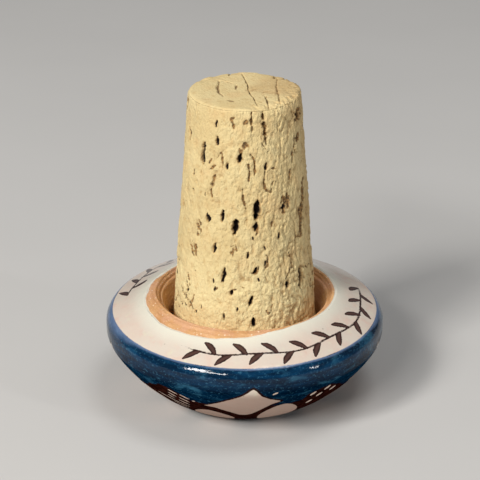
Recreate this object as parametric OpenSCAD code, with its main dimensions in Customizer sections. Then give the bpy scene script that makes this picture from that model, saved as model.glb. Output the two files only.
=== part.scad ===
// Ceramic bottle stopper: a domed, glazed clay cap with a tapered natural cork bonded into its socket.
// It stands upside down on the crown of its dome, so the cork points up along +Z.
// The origin is on the axis, at the plane the crown rests on. -Y is the front.

/* [Ceramic cap] */
// Diameter across the widest line of the rim
cap_d = 45; // [43:0.5:52]
// Height of the cap from the crown to the lip
cap_h = 17.3; // [16.8:0.1:19]
// Diameter of the flat on the crown
crown_d = 23.3; // [20:0.1:26]
// Height of the widest line above the crown
rim_z = 11.5; // [11:0.1:12.2]
// Height of the upright band at the widest line
rim_band = 0.9; // [0.5:0.1:1.3]
// Radius that rounds the rim into the dome
rim_dome_r = 3.1; // [2:0.1:4]
// Radius that rounds the rim into the ring on top
rim_ring_r = 2.4; // [1.8:0.1:2.8]
// Radius of the rounded lip round the socket
lip_r = 0.9; // [0.6:0.1:1.1]

/* [Socket] */
// Depth of the socket below the lip
socket_depth = 9.3; // [7:0.1:10.5]
// Radial clearance between the cork's foot and the socket's wall
socket_gap = 0.5; // [0.3:0.05:0.8]
// Depth of the flare that opens the socket toward its mouth
flare_depth = 3.2; // [2:0.1:4.5]
// Radial widening of the flare
flare_w = 0.95; // [0.5:0.05:1.3]
// Width of the ledge just inside the lip
ledge_w = 0.35; // [0.2:0.05:0.6]

/* [Cork] */
// Length of the cork
cork_len = 43; // [36:0.5:50]
// Diameter of the narrow end, which enters the bottle
cork_tip_d = 17.4; // [16:0.1:19]
// Diameter of the wide end, which is bonded in the socket
cork_foot_d = 23.8; // [22.5:0.1:24.6]
// Radius that rounds the edge of the narrow end
cork_edge_r = 0.6; // [0.3:0.1:1]
// Depth of a pit in the cork, as a share of its width
pit_share = 1; // [0.3:0.05:1.2]
// Depth of the cracks in the narrow end
crack_depth = 0.6; // [0.4:0.1:1.2]
// Number of pits round the back of the cork
back_pits = 30; // [12:1:32]

/* [Adhesive] */
// Thickness of the adhesive bed under the cork
glue_t = 0.5; // [0.3:0.1:1]

/* [Glaze] */
// Thickness of the glaze over the bare clay
glaze_t = 0.2; // [0.1:0.02:0.3]
// Depth of the painted brown ground under the glazed fields
ground_t = 0.1; // [0.04:0.02:0.16]
// Thickness of a brush stroke over the white ring
stroke_t = 0.06; // [0.04:0.01:0.1]
// Height of the line where the white ring meets the blue band
band_z = 14.45; // [14.2:0.05:14.6]
// Width of the unglazed ring, from the middle of the lip outward
bare_w = 1.2; // [0.6:0.1:2]

/* [Ornament] */
// Number of white petals round the dome, with a brown one after each
petals = 5; // [4:1:6]
// Height of a white petal's tip above the crown
white_tip_z = 11.1; // [10.4:0.1:11.4]
// Height of a brown petal's tip above the crown
brown_tip_z = 9.5; // [8.8:0.1:10.2]
// Height of the notches between petals above the crown
notch_z = 7; // [6.4:0.1:7.4]
// Height of a white petal's lowest point above the crown
petal_low_z = 4.2; // [3.6:0.1:5]
// Width of the brown outlines
line_w = 0.45; // [0.3:0.05:0.6]
// How far a petal's flanks curve inward
flank_sag = 0.3; // [0.1:0.05:0.5]
// How far the petal's lower sides curve outward
bowl_sag = 0.45; // [0.2:0.05:0.7]
// Radius of the round end of an under-petal
under_r = 2.9; // [2.2:0.1:3.2]
// Distance of an under-petal's round end from the axis
under_reach = 19.4; // [18.5:0.1:20]
// Distance of an under-petal's point from the axis
under_root = 9.4; // [8.8:0.1:10.5]
// Length of a hatch bar in a brown petal
bar_len = 1.15; // [0.8:0.05:1.4]
// Height of a hatch bar
bar_h = 0.26; // [0.2:0.02:0.4]
// Angle by which a hatch bar falls toward the right
bar_fall = 12; // [0:1:25]
// Distance between marks in a row of a brown petal
mark_pitch = 1.9; // [1.6:0.05:2.1]
// Distance between rows of marks
row_pitch = 0.85; // [0.7:0.05:0.95]
// Length of a lozenge in a brown petal
lozenge_len = 1.3; // [0.9:0.05:1.6]
// Angle by which a lozenge leans from upright
lozenge_lean = 55; // [30:1:70]
// Length of a leaf painted on the white ring
leaf_len = 2.7; // [2:0.1:3]
// Width of a leaf painted on the white ring
leaf_w = 1; // [0.6:0.05:1.2]
// Angle by which a leaf leans from the radius
leaf_lean = 50; // [30:1:60]

/* [Hidden] */
$fn = 96;

CLAY = [0.84, 0.6, 0.4];
WHITE = [0.9, 0.85, 0.79];
BLUE = [0.07, 0.21, 0.37];
BROWN = [0.25, 0.13, 0.11];
CORK = [0.9, 0.79, 0.56];
GLUE = [0.86, 0.84, 0.78];

bite = 0.3;          // how deep a glazed field is rooted in the clay
over = 1;            // how far a cutter runs past what it cuts

rim_rad = cap_d / 2;
crown_rad = crown_d / 2;
cork_tip_rad = cork_tip_d / 2;
cork_foot_rad = cork_foot_d / 2;
bore_rad = cork_foot_rad + socket_gap;
ledge_rad = bore_rad + flare_w;
mouth_rad = ledge_rad + ledge_w;

floor_z = cap_h - socket_depth;
lip_z = cap_h - lip_r;
flare_z = lip_z - flare_depth;
cork_foot_z = floor_z + glue_t;
cork_tip_z = cork_foot_z + cork_len;
cork_shown = cork_tip_z - cap_h;
cork_lean = atan((cork_foot_rad - cork_tip_rad) / cork_len);

// The dome is the ball that runs through the crown's edge and touches the rim's arc from outside
edge_c = [rim_rad - rim_dome_r, rim_z];
dome_a = rim_z ^ 2 - rim_dome_r ^ 2;
dome_k = crown_rad ^ 2 + rim_dome_r ^ 2 - rim_z ^ 2 - edge_c.x ^ 2;
dome_z = (rim_dome_r * sqrt(dome_k ^ 2 + 4 * dome_a * crown_rad ^ 2) - dome_k * rim_z) / (2 * dome_a);
dome_rad = norm([crown_rad, dome_z]);
dome_end = atan2(rim_z - dome_z, edge_c.x);

// The ring on top is the straight line that touches the rim's arc and the lip's arc
ring_c = [rim_rad - rim_ring_r, rim_z + rim_band];
lip_c = [mouth_rad + lip_r, lip_z];
ring_step = ring_c - lip_c;
ring_end = acos((lip_r - rim_ring_r) / norm(ring_step)) + atan2(ring_step.y, ring_step.x);

// The petals stand in a row round the dome
petal_turn = 180 / petals;
petal_half = (rim_rad - rim_dome_r / 2) * sin(petal_turn / 2);
field_start = 13;    // distance from the axis at which an upright field's cutter starts

// The marks stand in rows below this height above the crown
marks_z = (notch_z + brown_tip_z) / 2 - line_w;

// The lozenges: place along the row in steps of half a pitch, and row
LOZENGES = [[-1, 0], [1, 0], [-0.5, 1], [0.5, 1], [0, 2]];

// The sprigs on the white ring: first and last angle from the front, and number of leaves
SPRIGS = [[-24, 100, 18], [-140, -98, 7]];
sprig_rad = (mouth_rad + 2 * lip_r + rim_rad) / 2;
leaf_shift = 0.35 * leaf_len;    // how far a leaf's middle stands off the sprig's line

// The large pits that show in the cork: angle from the front, height in percent of the length
// that stands above the lip, length, width and lean from upright
PITS = [
    [-43, 77, 3.4, 0.8, 4], [-27, 85, 1.7, 0.6, 10], [-29, 93, 1.2, 0.6, -15], [-4, 78, 1.6, 1, 20],
    [-16, 73, 1.1, 0.7, 30], [20, 73, 1, 0.7, 0], [5, 84, 1.4, 0.4, -40], [20, 93, 3.4, 0.5, 6],
    [10, 53, 2.5, 1.4, 8], [10, 45, 1.5, 1, -10], [-8, 45, 2.3, 1.2, 12], [-20, 50, 1.3, 0.8, 25],
    [-34, 47, 1.3, 0.8, 15], [-27, 34, 1.5, 0.8, 5], [-46, 31, 1.3, 0.7, -10], [-18, 22, 2.2, 0.8, -8],
    [-11, 13, 1.4, 0.7, 10], [9, 24, 1.6, 1, 35], [19, 28, 1.1, 0.6, 0], [39, 14, 1.3, 0.9, 5],
    [55, 15, 2.9, 0.9, 8], [66, 91, 1.9, 1, 12], [63, 80, 1.3, 0.7, -10], [61.5, 47, 7.4, 0.8, 12],
    [38, 53, 1.4, 0.9, 20], [-55, 9, 1.4, 0.6, 40],
];

// The pits round the back: the first angle from the front, the angle they are spread over,
// the mean and swing of length and width, and the most they lean from upright
REAR_START = 80;
REAR_SPAN = 215;
REAR_LEN = [1.7, 0.9];
REAR_WIDTH = [0.75, 0.35];
REAR_LEAN = 18;
GOLDEN_TURN = 137.5;

// The cracks in the narrow end: centre, length, width and turn
CRACKS = [[[0.9, 1.8], 9.6, 0.5, -10], [[5.3, -2.2], 6.6, 0.4, -4], [[-3.5, 0.6], 3.4, 0.45, 8]];

// The chips in the edge of the narrow end: angle from the front and radius
CHIPS = [[160, 0.7], [-162, 0.5], [148, 0.6], [-100, 0.5]];

function polar(r, a) = [r * cos(a), r * sin(a)];
// The middle of the way from p to q, moved by sag to the right of that way
function bowed(p, q, sag) = (p + q) / 2 + [q.y - p.y, p.x - q.x] * sag / norm(q - p);
function mirrored(p) = [-p.x, p.y];
function cork_rad(z) = cork_foot_rad - (z - cork_foot_z) * tan(cork_lean);

// ---- Flat shapes ----

// A pointed leaf shape along Y
module leaf_shape(length, width) {
    r = (length ^ 2 + width ^ 2) / (4 * width);
    intersection() {
        translate([r - width / 2, 0]) circle(r);
        translate([width / 2 - r, 0]) circle(r);
    }
}

// Half section of the cap without its socket, with the outside taken in by skin up to the lip's bead
module outer_section(skin) {
    dome_c = [0, dome_z];
    polygon([
        [0, skin],
        [sqrt((dome_rad - skin) ^ 2 - (dome_z - skin) ^ 2), skin],
        dome_c + polar(dome_rad - skin, dome_end),
        [rim_rad - skin, rim_z],
        [rim_rad - skin, rim_z + rim_band],
        ring_c + polar(rim_ring_r - skin, ring_end),
        lip_c + polar(lip_r - skin, ring_end),
        lip_c,
        [0, lip_z],
    ]);
    intersection() {
        translate(dome_c) circle(dome_rad - skin);
        polygon([[0, skin], [2 * rim_rad, skin], dome_c + polar(2 * rim_rad, dome_end), dome_c]);
    }
    translate(edge_c) circle(rim_dome_r - skin);
    translate(ring_c) circle(rim_ring_r - skin);
    translate(lip_c) circle(lip_r);
}

// Half section of the socket, open at the top
module socket_section() {
    top = max(cap_h, dome_z) + over;
    polygon([
        [-over, floor_z],
        [bore_rad, floor_z],
        [bore_rad, flare_z],
        [ledge_rad, lip_z],
        [ledge_rad, top],
        [-over, top],
    ]);
}

module cap_section(skin) {
    difference() {
        outer_section(skin);
        socket_section();
    }
}

// Section of a coat on the cap's outside, between two heights
module coat_section(skin, z0, z1) {
    intersection() {
        difference() {
            cap_section(skin);
            outer_section(glaze_t + bite);
        }
        translate([0, z0]) square([rim_rad + over, z1 - z0]);
    }
}

// Front view of a petal with an ogee tip and a bowed lower edge
module ogee(half, low_z, foot_z, tip_z) {
    low = [0, low_z];
    foot = [half, foot_z];
    tip = [0, tip_z];
    bowl = bowed(low, foot, bowl_sag);
    flank = bowed(foot, tip, -flank_sag);
    polygon([low, bowl, foot, flank, tip, mirrored(flank), mirrored(foot), mirrored(bowl)]);
}

// Front view of what the blue band leaves free round a petal
module arch(tip_z) {
    foot = [petal_half, notch_z];
    tip = [0, tip_z];
    flank = bowed(foot, tip, -flank_sag);
    base = [petal_half + line_w, 0];
    edge = [base.x, notch_z - line_w / 2];
    polygon([mirrored(base), base, edge, foot, flank, tip, mirrored(flank), mirrored(foot), mirrored(edge)]);
}

// ---- Ceramic cap ----

module coat(skin, z0, z1) {
    rotate_extrude() coat_section(skin, z0, z1);
}

// Turns a front view by an angle and carries it outward through the dome's wall
module on_dome(turn) {
    rotate([0, 0, turn])
        translate([0, -field_start, 0])
            rotate([90, 0, 0])
                linear_extrude(rim_rad + over - field_start) children();
}

module clay_body() {
    color(CLAY) rotate_extrude() cap_section(glaze_t);
}

module brown_ground() {
    color(BROWN) coat(ground_t, glaze_t, white_tip_z + 2 * line_w);
}

module blue_band() {
    color(BLUE) difference() {
        coat(0, notch_z - line_w, band_z);
        for (i = [0 : petals - 1]) {
            on_dome(i * 2 * petal_turn) arch(white_tip_z + line_w);
            on_dome((i * 2 + 1) * petal_turn) arch(brown_tip_z);
        }
    }
}

module white_ring() {
    color(WHITE) rotate_extrude() intersection() {
        coat_section(0, band_z, cap_h);
        translate([lip_c.x + bare_w, 0]) square([rim_rad, cap_h]);
    }
}

module white_petals() {
    color(WHITE) intersection() {
        coat(0, petal_low_z - line_w, white_tip_z + line_w);
        for (i = [0 : petals - 1])
            on_dome(i * 2 * petal_turn)
                ogee(petal_half - line_w, petal_low_z, notch_z + line_w / 2, white_tip_z);
    }
}

// The row of round-ended petals under the gaps of the upper row
module under_petals() {
    centre = under_reach - under_r;
    run = centre - under_root;
    touch = sqrt(run ^ 2 - under_r ^ 2);
    spread = asin(under_r / run);
    color(WHITE) intersection() {
        coat(0, -over, notch_z);
        for (i = [0 : 2 * petals - 1])
            rotate([0, 0, (i + 0.5) * petal_turn])
                translate([0, 0, -over]) linear_extrude(notch_z + 2 * over) {
                    translate([0, -centre]) circle(under_r);
                    polygon([
                        [0, -under_root],
                        [touch * sin(spread), -under_root - touch * cos(spread)],
                        [0, -centre],
                        [-touch * sin(spread), -under_root - touch * cos(spread)],
                    ]);
                }
    }
}

module crown_disc() {
    color(WHITE) intersection() {
        coat(0, -over, notch_z);
        translate([0, 0, -over]) cylinder(r = under_root - line_w, h = notch_z);
    }
}

module hatch() {
    for (column = [-1, 1], row = [0 : 2])
        translate([column * mark_pitch / 2 - row * line_w, marks_z - row * row_pitch])
            rotate(-bar_fall) square([bar_len, bar_h], center = true);
}

module lozenges() {
    for (spot = LOZENGES)
        translate([spot.x * mark_pitch / 2, marks_z - spot.y * row_pitch])
            rotate(-lozenge_lean) leaf_shape(lozenge_len, lozenge_len / 3);
}

module brown_petal_marks() {
    color(WHITE) intersection() {
        coat(0, petal_low_z, brown_tip_z);
        for (turn = [petal_turn : 2 * petal_turn : 360])
            on_dome(turn)
                if (turn < 180) lozenges(); else hatch();
    }
}

// Leaves that lean out of a middle line, one side after the other
module painted_sprigs() {
    color(BROWN) intersection() {
        coat(-stroke_t, band_z, cap_h + over);
        for (s = SPRIGS, i = [0 : s[2] - 1]) {
            side = i % 2 * 2 - 1;
            rotate([0, 0, s[0] + (s[1] - s[0]) * i / (s[2] - 1)])
                translate([0, side * leaf_shift - sprig_rad, floor_z])
                    rotate([0, 0, side * leaf_lean])
                        linear_extrude(cap_h) leaf_shape(leaf_len, leaf_w);
        }
    }
}

module ceramic_cap() {
    clay_body();
    brown_ground();
    blue_band();
    white_ring();
    white_petals();
    under_petals();
    crown_disc();
    brown_petal_marks();
    painted_sprigs();
}

// ---- Cork ----

// Cuts a pointed pit into the cork's side: turn round the axis, height, length, width and lean
module pit(turn, z, length, width, lean) {
    rotate([0, 0, turn])
        translate([0, pit_share * width - cork_rad(z), z])
            rotate([90 - cork_lean, 0, 0])
                rotate([0, 0, -lean])
                    linear_extrude(pit_share * width + over) leaf_shape(length, width);
}

module cork_blank() {
    edge_c = [cork_tip_rad - cork_edge_r, cork_tip_z - cork_edge_r];
    edge_start = cork_lean;
    rotate_extrude() {
        polygon([
            [0, cork_foot_z],
            [cork_foot_rad, cork_foot_z],
            edge_c + polar(cork_edge_r, edge_start),
            edge_c + polar(cork_edge_r, 90),
            [0, cork_tip_z],
        ]);
        translate(edge_c) circle(cork_edge_r);
    }
}

module front_pits() {
    for (p = PITS)
        pit(p[0], cap_h + cork_shown * p[1] / 100, p[2], p[3], p[4]);
}

// Pits spread round the back by the golden angle
module rear_pits() {
    for (i = [0 : back_pits - 1]) {
        spread = i * GOLDEN_TURN;
        z = cap_h + cork_shown * (i + 1) / (back_pits + 1);
        length = REAR_LEN[0] + REAR_LEN[1] * sin(spread * 2);
        width = REAR_WIDTH[0] + REAR_WIDTH[1] * cos(spread * 3);
        pit(REAR_START + spread % REAR_SPAN, z, length, width, REAR_LEAN * sin(spread * 5));
    }
}

module end_cracks() {
    for (c = CRACKS)
        translate([c[0].x, c[0].y, cork_tip_z - crack_depth])
            rotate([0, 0, c[3]]) linear_extrude(crack_depth + over) leaf_shape(c[1], c[2]);
}

module end_chips() {
    for (c = CHIPS)
        rotate([0, 0, c[0]]) translate([0, -cork_tip_rad, cork_tip_z]) sphere(c[1]);
}

module cork() {
    color(CORK) difference() {
        cork_blank();
        front_pits();
        rear_pits();
        end_cracks();
        end_chips();
    }
}

// ---- Adhesive ----

// A pressed-out puck of adhesive with a round edge
module glue_bed() {
    glue_rad = cork_foot_rad + socket_gap / 2;
    color(GLUE) translate([0, 0, floor_z]) rotate_extrude() {
        square([glue_rad - glue_t / 2, glue_t]);
        intersection() {
            translate([glue_rad - glue_t / 2, glue_t / 2]) circle(glue_t / 2);
            translate([glue_rad - glue_t, 0]) square([glue_t, glue_t]);
        }
    }
}

ceramic_cap();
cork();
glue_bed();
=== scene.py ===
"""Looks of the ceramic bottle stopper: a painted, glazed clay cap with its natural cork, on a pale floor."""

import math

import bpy
import numpy as np
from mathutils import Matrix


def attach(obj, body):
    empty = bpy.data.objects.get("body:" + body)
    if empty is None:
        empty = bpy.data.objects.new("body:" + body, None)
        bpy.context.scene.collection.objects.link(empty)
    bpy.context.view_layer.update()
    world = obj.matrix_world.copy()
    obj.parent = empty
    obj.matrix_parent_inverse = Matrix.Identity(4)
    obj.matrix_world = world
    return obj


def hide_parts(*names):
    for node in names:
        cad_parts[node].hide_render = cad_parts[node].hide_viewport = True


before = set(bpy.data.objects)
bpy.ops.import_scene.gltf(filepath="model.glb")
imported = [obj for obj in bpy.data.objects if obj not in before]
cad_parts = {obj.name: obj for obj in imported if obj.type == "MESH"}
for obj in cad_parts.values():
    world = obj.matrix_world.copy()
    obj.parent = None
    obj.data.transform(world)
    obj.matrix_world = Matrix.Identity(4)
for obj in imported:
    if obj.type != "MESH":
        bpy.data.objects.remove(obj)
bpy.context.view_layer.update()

MM = 0.001
FRONT_CAMERA = {"place": (0.0, -0.2586, 0.1446), "down": 24.62, "yaw": 0.162, "lens": 133.4}

# ---- Sizes in millimetres, the same as the CAD's ----

RIM_R = 22.5
CROWN_R = 11.65
CAP_H = 17.3
RIM_Z = 11.5
RIM_BAND = 0.9
RIM_DOME_R = 3.1
RIM_RING_R = 2.4
LIP_R = 0.9
BORE_R = 12.4
LEDGE_R = 13.35
MOUTH_R = 13.7
FLOOR_Z = 8.0
LIP_Z = CAP_H - LIP_R
FLARE_Z = LIP_Z - 3.2
CORK_FOOT_Z = 8.5
CORK_TIP_Z = 51.5
CORK_FOOT_R = 11.9
CORK_TIP_R = 8.7
CORK_EDGE_R = 0.6
BAND_Z = 14.45

# Points round each turned piece
CAP_COLUMNS = 640
CORK_COLUMNS = 360


# ---- Repeatable noise ----

def lattice(cell, seed):
    """A fixed pseudo-random number from 0 to 1 for each whole-number cell."""
    h = (cell[:, 0] * 73856093) ^ (cell[:, 1] * 19349663) ^ (cell[:, 2] * 83492791) ^ (seed * 2654435761)
    h = ((h ^ (h >> 13)) * 1274126177) & 0xFFFFFFFF
    return ((h ^ (h >> 15)) & 0xFFFF) / 65535.0


def noise(points, size, seed=0):
    """Smooth noise from -1 to 1 with features about size across. size may be one number or one per axis."""
    p = points / np.asarray(size, float)
    cell = np.floor(p).astype(np.int64)
    t = p - cell
    t = t * t * (3 - 2 * t)
    total = np.zeros(len(p))
    for corner in np.ndindex(2, 2, 2):
        weight = np.prod(np.where(np.array(corner) == 1, t, 1 - t), axis=1)
        total += weight * lattice(cell + corner, seed)
    return total * 2 - 1


def smoothstep(low, high, value):
    """0 at low, 1 at high, and smooth between them. low may be the larger."""
    t = np.clip((value - low) / (high - low), 0, 1)
    return t * t * (3 - 2 * t)


# ---- Flat shapes as signed distances, positive inside ----

# Signed distance that stands for anywhere far outside
FAR = -9.0


def to_segment(p, a, b):
    """Distance from each point to the segment ab, and how far along it the nearest place is."""
    way = b - a
    t = np.clip(((p - a) @ way) / (way @ way), 0, 1)
    return np.hypot(*(p - a - t[:, None] * way).T), t


def inside_by(p, outline):
    """Signed distance of the points to a closed outline."""
    best = np.full(len(p), np.inf)
    inside = np.zeros(len(p), bool)
    for a, b in zip(outline, np.roll(outline, -1, axis=0)):
        best = np.minimum(best, to_segment(p, a, b)[0])
        crosses = (a[1] > p[:, 1]) != (b[1] > p[:, 1])
        if crosses.any():
            x = a[0] + (p[:, 1] - a[1]) / (b[1] - a[1]) * (b[0] - a[0])
            inside ^= crosses & (p[:, 0] < x)
    return np.where(inside, best, -best)


def stroke(p, path, width, blunt=0.35):
    """How deep each point lies in a brush stroke along a path, as a share of its half width there."""
    path = np.asarray(path, float)
    steps = np.hypot(*np.diff(path, axis=0).T)
    start = np.concatenate([[0], np.cumsum(steps)]) / steps.sum()
    best = np.full(len(p), -np.inf)
    for k in range(len(steps)):
        d, t = to_segment(p, path[k], path[k + 1])
        along = start[k] + t * (start[k + 1] - start[k])
        half = width / 2 * (blunt + (1 - blunt) * np.sin(np.pi * np.clip(along, 0.02, 0.98)) ** 0.7)
        best = np.maximum(best, 1 - d / half)
    return best


# ---- Bodies of revolution ----

def arc(centre, radius, start, end, step):
    """Points from one angle to another, in degrees, at most about step apart."""
    count = max(2, int(abs(math.radians(end - start)) * radius / step) + 1)
    turn = np.radians(np.linspace(start, end, count))
    return np.column_stack([centre[0] + radius * np.cos(turn), centre[1] + radius * np.sin(turn)])


def line(start, end, step):
    """Points from start to end, about step apart."""
    count = max(2, int(math.dist(start, end) / step) + 1)
    return np.linspace(start, end, count)


def joined(parts):
    """One profile from several, without the points that repeat."""
    rows = np.vstack(parts)
    keep = np.concatenate([[True], np.hypot(*np.diff(rows, axis=0).T) > 0.02])
    return rows[keep]


class Turned:
    """A profile of (radius, height) rows turned round the axis: its points, angles and outward normals."""

    def __init__(self, profile, columns):
        self.rows = len(profile) - 2
        self.columns = columns
        self.profile = profile
        along = np.gradient(profile, axis=0)
        along /= np.hypot(*along.T)[:, None]
        r, z = profile[1:-1].T
        azimuth = (np.arange(columns) / columns * 2 - 1) * math.pi
        self.az = np.tile(azimuth, self.rows)
        self.r = np.repeat(r, columns)
        self.z = np.repeat(z, columns)
        self.length = np.concatenate([[0], np.cumsum(np.hypot(*np.diff(profile, axis=0).T))])
        self.s = np.repeat(self.length[1:-1], columns)
        out = np.repeat(np.column_stack([along[1:-1, 1], -along[1:-1, 0]]), columns, axis=0)
        radial = np.column_stack([np.sin(self.az), -np.cos(self.az), np.zeros(len(self.az))])
        self.normal = radial * out[:, :1]
        self.normal[:, 2] = out[:, 1]
        self.points = radial * self.r[:, None]
        self.points[:, 2] = self.z

    def faces(self):
        """Quads between the rows, and a fan of triangles round each end."""
        i, j = np.meshgrid(np.arange(self.rows - 1), np.arange(self.columns), indexing="ij")
        k = (j + 1) % self.columns
        a, b = i * self.columns + j, i * self.columns + k
        quads = np.stack([a, b, b + self.columns, a + self.columns], axis=-1).reshape(-1, 4)
        j = np.arange(self.columns)
        k = (j + 1) % self.columns
        first = self.rows * self.columns
        last = (self.rows - 1) * self.columns
        low = np.column_stack([np.full(self.columns, first), k, j])
        high = np.column_stack([np.full(self.columns, first + 1), last + j, last + k])
        return quads.tolist() + low.tolist() + high.tolist()

    def build(self, name, offset, fields):
        """The mesh object, moved along its normals by offset, with each field as an attribute."""
        moved = self.points + self.normal * offset[:, None]
        ends = np.array([[0, 0, self.profile[0][1]], [0, 0, self.profile[-1][1]]])
        mesh = bpy.data.meshes.new(name)
        mesh.from_pydata(np.vstack([moved, ends]) * MM, [], self.faces())
        mesh.polygons.foreach_set("use_smooth", np.ones(len(mesh.polygons), bool))
        for field, value in fields.items():
            first, last = value[: self.columns].mean(), value[-self.columns:].mean()
            data = mesh.attributes.new(field, "FLOAT", "POINT").data
            data.foreach_set("value", np.concatenate([value, [first, last]]).astype(np.float32))
        mesh.update()
        piece = bpy.data.objects.new(name, mesh)
        bpy.context.scene.collection.objects.link(piece)
        return piece


def wrapped(az, middle):
    """Angle from the middle one, in radians, by the short way round."""
    return (az - math.radians(middle) + math.pi) % (2 * math.pi) - math.pi


# ---- Shape of the cap ----

def dome_arc(step):
    """The dome from the edge of the crown to the arc that rounds the rim, and the angle they meet at."""
    edge_x = RIM_R - RIM_DOME_R
    a = RIM_Z ** 2 - RIM_DOME_R ** 2
    k = CROWN_R ** 2 + RIM_DOME_R ** 2 - RIM_Z ** 2 - edge_x ** 2
    root = math.sqrt(k ** 2 + 4 * a * CROWN_R ** 2)
    middle_z = (RIM_DOME_R * root - k * RIM_Z) / (2 * a)
    start = math.degrees(math.atan2(-middle_z, CROWN_R))
    end = math.degrees(math.atan2(RIM_Z - middle_z, edge_x))
    return arc((0, middle_z), math.hypot(CROWN_R, middle_z), start, end, step), end


def cap_profile():
    """The cap's outline from the middle of the crown, over rim and lip, to the middle of the socket."""
    dome, dome_end = dome_arc(0.24)
    edge = arc((RIM_R - RIM_DOME_R, RIM_Z), RIM_DOME_R, dome_end, 0, 0.22)
    ring_c = (RIM_R - RIM_RING_R, RIM_Z + RIM_BAND)
    lip_c = (MOUTH_R + LIP_R, LIP_Z)
    step = (ring_c[0] - lip_c[0], ring_c[1] - lip_c[1])
    turn = math.acos((LIP_R - RIM_RING_R) / math.hypot(*step)) + math.atan2(step[1], step[0])
    ring_end = math.degrees(turn)
    shoulder = arc(ring_c, RIM_RING_R, 0, ring_end, 0.2)
    lip = arc(lip_c, LIP_R, ring_end, 180, 0.15)
    return joined([
        line((0, 0), (CROWN_R, 0), 0.8), dome, edge,
        line(edge[-1], shoulder[0], 0.23), shoulder,
        line(shoulder[-1], lip[0], 0.24), lip,
        line((MOUTH_R, LIP_Z), (LEDGE_R, LIP_Z), 0.12),
        line((LEDGE_R, LIP_Z), (BORE_R, FLARE_Z), 0.4),
        line((BORE_R, FLARE_Z), (BORE_R, FLOOR_Z), 1.0),
        line((BORE_R, FLOOR_Z), (0, FLOOR_Z), 3.1),
    ])


# ---- Paint on the cap ----

PETALS = 5
PETAL_PITCH = 72
LINE_W = 0.42

# Radius at which a distance round the dome is measured
BELT_R = 21.6

# Outlines on the dome, as (angle in degrees from the petal's middle, height in mm)
WHITE_PETAL = [
    (3.5, 11.4), (1.6, 10.8), (-1.5, 9.85), (-6, 8.95), (-13, 7.5), (-18.5, 6.5), (-13.5, 6.3), (-7, 5.1),
    (-2.5, 4.1), (0.6, 4.05), (3.5, 4.5), (8.5, 6.3), (12, 7.5), (15.8, 8.15), (10.5, 8.95), (7, 9.85),
    (5, 10.9),
]
PETAL_HALF = [(1.6, 10.6), (4.2, 9.6), (8, 8.75), (13, 7.9), (17, 7.15), (13, 6.3), (7.5, 5.1), (3, 4.2)]
OTHER_PETAL = [(0, 11.4)] + PETAL_HALF + [(0, 4.0)] + [(-a, z) for a, z in PETAL_HALF[::-1]]
BROWN_PETAL = [
    (-14.5, 7.0), (-9.5, 7.35), (-7.5, 8.6), (-4.5, 8.95), (-1, 9.4), (2, 9.45), (5.5, 8.75), (9, 8.3),
    (12, 7.5), (14.5, 7.05), (14.5, 3.0), (-14.5, 3.0),
]
BRUSH_WOBBLE = 0.08

# White marks on the brown petals: strokes on those to the left and behind, lozenges on the others
HATCH = [
    [(2.4, 8.75), (6.0, 8.1)], [(1.0, 7.8), (4.2, 7.15)], [(-0.4, 6.95), (2.2, 6.4)],
    [(7.3, 8.2), (11.2, 7.45)], [(5.8, 7.2), (10.2, 6.4)], [(4.4, 6.25), (8.8, 5.45)],
    [(-7.0, 6.65), (7.2, 4.5)], [(-2.5, 4.9), (5.4, 3.6)],
]
HATCH_W = 0.34
LOZENGES = [(5.5, 7.9), (1.2, 8.75), (-5.6, 8.3), (-1.2, 7.4), (-4.4, 5.9)]
LOZENGE_W = 0.72
LOZENGE_REACH = (0.75, 0.25)
DASHES = [[(11.4, 10.05), (13.2, 10.45)], [(-23.6, 7.05), (-22.4, 7.2)]]

# Round-ended petals under the others: heights of the two in front, and the range of the rest
UNDER_TOPS = {18: 7.1, -18: 4.9}
UNDER_TOP, UNDER_TOP_SPREAD = 5.9, 0.45
UNDER_HALF_W, UNDER_HALF_W_SPREAD = 3.1, 0.12
UNDER_ROOT_S = 9.5
CROWN_DISC_S = 8.9

# Sprigs on the ring as (first angle, last angle, number of leaves)
SPRIGS = [(-24, 100, 18), (-140, -98, 7)]
SPRIG_R = (MOUTH_R + 2 * LIP_R + RIM_R) / 2
STEM_HALF_W = 0.15
STEM_WAVE = 0.22
STEM_WAVES_ROUND = 9
STEM_OVERHANG = 6
LEAF_LEN = 2.7
LEAF_W = 1.0
LEAF_SHIFT = 0.35 * LEAF_LEN
LEAF_LEAN = 50
LEAF_BEND = 0.18

# The glaze's edge round the socket is a circle off the axis
GLAZE_CENTRE = (-1.8, -1.8)
GLAZE_EDGE = 14.06
WELL_GLAZED = 5.0

# How far the pale blue of thin glaze runs down from the band's edge in front, and how much farther at the
# left and right, where the extra width is painted reflection
FADE_FRONT, FADE_LEFT, FADE_RIGHT = 0.45, 1.9, 1.2

# Height near which the dome turns to the floor, loses its shine and darkens with painted shade, and the value
# of that field on the ring
LOW_Z = 10.0
RING_LOW = -6.0


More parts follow.
